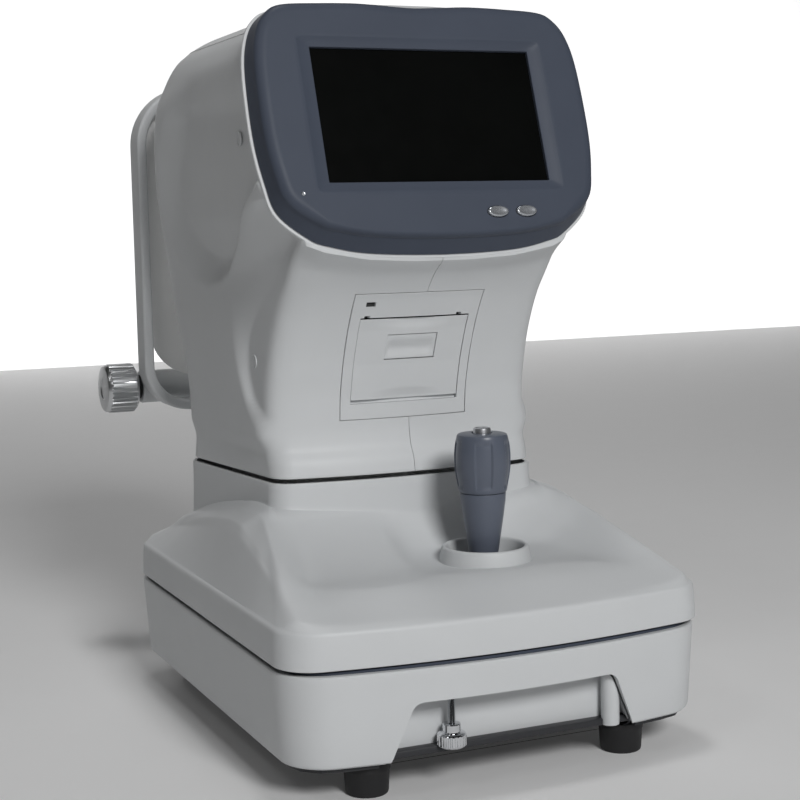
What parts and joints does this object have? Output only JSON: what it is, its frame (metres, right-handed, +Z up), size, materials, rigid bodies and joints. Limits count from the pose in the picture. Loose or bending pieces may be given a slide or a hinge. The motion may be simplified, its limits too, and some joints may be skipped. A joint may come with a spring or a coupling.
{
  "type": "autorefractor",
  "caption": "Table-top eye refractor: leaning screen and printer on a lifting head, sliding stage with joystick, base on rubber feet, face frame and knob-driven chin rest.",
  "frame": {"origin": "middle of the instrument's footprint, on the surface it stands on", "axes": "+X to the operator's right, +Y from the operator to the patient, +Z up"},
  "size_m": [0.2884, 0.4719, 0.487],
  "materials": {
    "shell": "satin moulded plastic",
    "slate": "satin dark slate plastic",
    "dark_metal": "matte black",
    "steel": "brushed",
    "chrome": "polished",
    "rubber": "matte",
    "screen": "gloss",
    "lens": "coated",
    "pad": "soft matte",
    "cup": "satin",
    "panel": "satin",
    "silver": "satin",
    "button": "silvered",
    "inlet": "matte",
    "paper": "paper"
  },
  "bodies": {
    "base": {"base_tray": "shell", "base_plate": "dark_metal", "screw_recess": "shell", "base_deck": "dark_metal", "foot_front_left": "rubber", "foot_front_right": "rubber", "foot_rear_left": "rubber", "foot_rear_right": "rubber", "rail_left": "steel", "rail_right": "steel", "power_supply": "silver", "power_inlet": "inlet", "face_frame": "shell", "face_panel": "panel", "forehead_pad": "pad", "chinrest_bracket": "shell", "chin_bushing": "shell"},
    "power_switch": {"power_rocker": "inlet"},
    "lock_rod": {"lock_screw_rod": "chrome"},
    "lock_knob": {"lock_screw_knob": "chrome"},
    "chin_drive": {"chin_shaft": "steel", "chin_knob": "steel"},
    "chin_rest": {"chin_post": "steel", "chin_cup": "cup"},
    "cross_carriage": {"carriage_bridge": "silver"},
    "axle": {"cross_axle": "steel", "track_wheel_left": "rubber", "track_wheel_right": "rubber"},
    "stage": {"stage_cover": "shell", "stage_plate": "silver", "slide_bearing": "silver", "neck_skirt": "panel", "guide_post_left": "steel", "guide_post_right": "steel", "lift_motor": "dark_metal", "joystick_ring": "shell"},
    "lift_drive": {"lift_screw": "steel"},
    "gimbal": {"gimbal_ring": "steel"},
    "joystick": {"joystick_shaft": "slate"},
    "grip": {"joystick_grip": "slate"},
    "trigger": {"trigger_button": "button"},
    "head": {"left_shell": "shell", "right_shell": "shell", "top_cover": "shell", "bezel": "slate", "screen_glass": "screen", "lcd_panel": "silver", "head_plate": "silver", "optics_frame": "silver", "optics_barrel": "dark_metal", "camera_module": "dark_metal", "window_ring": "dark_metal", "objective_lens": "lens", "printer_frame": "shell", "printer_mechanism": "dark_metal"},
    "print_key": {"print_button": "button"},
    "reset_key": {"reset_button": "button"},
    "printer_lid": {"printer_door": "shell"},
    "lid_latch": {"door_latch": "shell"},
    "paper": {"paper_roll": "paper"}
  },
  "joints": [
    {"name": "stage_forward", "type": "slide", "parent": "base", "child": "cross_carriage", "axis": [0, 1, 0], "range_m": [-0.02, 0.02]},
    {"name": "axle_roll", "type": "hinge", "parent": "cross_carriage", "child": "axle", "pos_m": [0, -0.046, 0.093], "axis": [1, 0, 0], "range_deg": [-128, 128]},
    {"name": "stage_across", "type": "slide", "parent": "cross_carriage", "child": "stage", "axis": [1, 0, 0], "range_m": [-0.042, 0.042]},
    {"name": "head_lift", "type": "slide", "parent": "stage", "child": "head", "axis": [0, 0, 1], "range_m": [0, 0.03]},
    {"name": "lift_screw_turn", "type": "hinge", "parent": "stage", "child": "lift_drive", "pos_m": [0, 0.044, 0.138], "axis": [0, 0, 1], "range_deg": [-2170, 0]},
    {"name": "joystick_fore_aft", "type": "hinge", "parent": "stage", "child": "gimbal", "pos_m": [0.0275, -0.135, 0.1055], "axis": [1, 0, 0], "range_deg": [-12, 12]},
    {"name": "joystick_side", "type": "hinge", "parent": "gimbal", "child": "joystick", "pos_m": [0.0275, -0.135, 0.1055], "axis": [0, 1, 0], "range_deg": [-12, 12]},
    {"name": "grip_turn", "type": "hinge", "parent": "joystick", "child": "grip", "pos_m": [0.0275, -0.135, 0.18], "axis": [0, 0, 1], "range_deg": [-905, 0]},
    {"name": "trigger_press", "type": "slide", "parent": "joystick", "child": "trigger", "axis": [0, 0, -1], "range_m": [0, 0.0015], "stiffness_N_per_m": 400, "springref_m": -0.001},
    {"name": "print_press", "type": "slide", "parent": "head", "child": "print_key", "axis": [0, 0.9452, -0.3264], "range_m": [0, 0.0012], "stiffness_N_per_m": 300, "springref_m": -0.001},
    {"name": "reset_press", "type": "slide", "parent": "head", "child": "reset_key", "axis": [0, 0.9452, -0.3264], "range_m": [0, 0.0012], "stiffness_N_per_m": 300, "springref_m": -0.001},
    {"name": "printer_door_swing", "type": "hinge", "parent": "head", "child": "printer_lid", "pos_m": [-0.003, -0.07892, 0.221], "axis": [1, 0, 0], "range_deg": [0, 75]},
    {"name": "latch_lift", "type": "hinge", "parent": "printer_lid", "child": "lid_latch", "pos_m": [-0.003, -0.09304, 0.2648], "axis": [-1, 0, 0], "range_deg": [0, 20], "stiffness_Nm_per_rad": 0.02, "springref_deg": -17.19},
    {"name": "paper_turn", "type": "hinge", "parent": "head", "child": "paper", "pos_m": [-0.003, -0.058, 0.2445], "axis": [1, 0, 0], "continuous": true},
    {"name": "chin_lift", "type": "slide", "parent": "base", "child": "chin_rest", "axis": [0, 0, 1], "range_m": [0, 0.06]},
    {"name": "chin_knob_turn", "type": "hinge", "parent": "base", "child": "chin_drive", "pos_m": [0, 0.204, 0.21], "axis": [1, 0, 0], "range_deg": [0, 493]},
    {"name": "power_rock", "type": "hinge", "parent": "base", "child": "power_switch", "pos_m": [0.041, 0.1145, 0.05], "axis": [1, 0, 0], "range_deg": [-8, 8]},
    {"name": "lock_rise", "type": "slide", "parent": "base", "child": "lock_rod", "axis": [0, 0, 1], "range_m": [0, 0.005]},
    {"name": "lock_turn", "type": "hinge", "parent": "lock_rod", "child": "lock_knob", "pos_m": [-0.041, -0.223, 0.034], "axis": [0, 0, 1], "range_deg": [0, 2260]}
  ],
  "couplings": [
    {"joint": "axle_roll", "follows": "stage_forward", "rad_per_m": -111.11},
    {"joint": "lift_screw_turn", "follows": "head_lift", "rad_per_m": -1256.6},
    {"joint": "grip_turn", "follows": "head_lift", "rad_per_m": -523.6},
    {"joint": "chin_knob_turn", "follows": "chin_lift", "rad_per_m": 142.86},
    {"joint": "lock_turn", "follows": "lock_rise", "rad_per_m": 7854}
  ]
}
